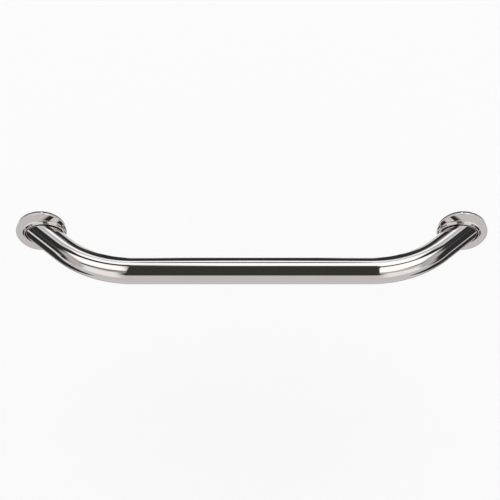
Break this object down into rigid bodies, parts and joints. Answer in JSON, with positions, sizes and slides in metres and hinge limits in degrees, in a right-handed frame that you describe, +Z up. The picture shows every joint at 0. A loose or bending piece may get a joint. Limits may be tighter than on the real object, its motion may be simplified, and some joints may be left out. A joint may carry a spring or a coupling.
{
  "type": "grab rail",
  "caption": "Round polished grab rail with long bends, leaning legs and dished round feet, fixed by threaded studs from behind the panel.",
  "frame": {"origin": "on the mounting plane, midway between the two fixing studs", "axes": "+X along the rail to the right, +Z up, -Y away from the wall towards the user, +Y along the studs into the wall"},
  "size_m": [0.4554, 0.0899, 0.049],
  "materials": {
    "polished_tube": "mirror polished stainless steel",
    "polished_flange": "mirror polished stainless steel",
    "plain_steel": "turned and pickled stainless steel",
    "fastener_steel": "bright machined stainless steel",
    "gasket_rubber": "matt black rubber"
  },
  "bodies": {
    "rail": {"rail_tube": "polished_tube", "left_flange_cover": "polished_flange", "right_flange_cover": "polished_flange", "left_backing_plate": "plain_steel", "right_backing_plate": "plain_steel", "left_weld_nut": "plain_steel", "right_weld_nut": "plain_steel", "left_stud": "fastener_steel", "right_stud": "fastener_steel", "left_gasket_ring": "gasket_rubber", "right_gasket_ring": "gasket_rubber"},
    "left_washers": {"left_flat_washer": "fastener_steel", "left_spring_washer": "fastener_steel"},
    "left_nut": {"left_hex_nut": "fastener_steel"},
    "right_washers": {"right_flat_washer": "fastener_steel", "right_spring_washer": "fastener_steel"},
    "right_nut": {"right_hex_nut": "fastener_steel"}
  },
  "joints": [
    {"name": "left_nut_travel", "type": "slide", "parent": "rail", "child": "left_washers", "axis": [0, 1, 0], "range_m": [-0.0038, 0.0038]},
    {"name": "left_nut_spin", "type": "hinge", "parent": "left_washers", "child": "left_nut", "pos_m": [-0.2032, 0.013, 0], "axis": [0, 1, 0], "range_deg": [-1080, 1080]},
    {"name": "right_nut_travel", "type": "slide", "parent": "rail", "child": "right_washers", "axis": [0, 1, 0], "range_m": [-0.0038, 0.0038]},
    {"name": "right_nut_spin", "type": "hinge", "parent": "right_washers", "child": "right_nut", "pos_m": [0.2032, 0.013, 0], "axis": [0, 1, 0], "range_deg": [-1080, 1080]}
  ],
  "couplings": [
    {"joint": "left_nut_travel", "follows": "left_nut_spin", "m_per_rad": 0.00019894},
    {"joint": "right_nut_travel", "follows": "right_nut_spin", "m_per_rad": 0.00019894}
  ]
}
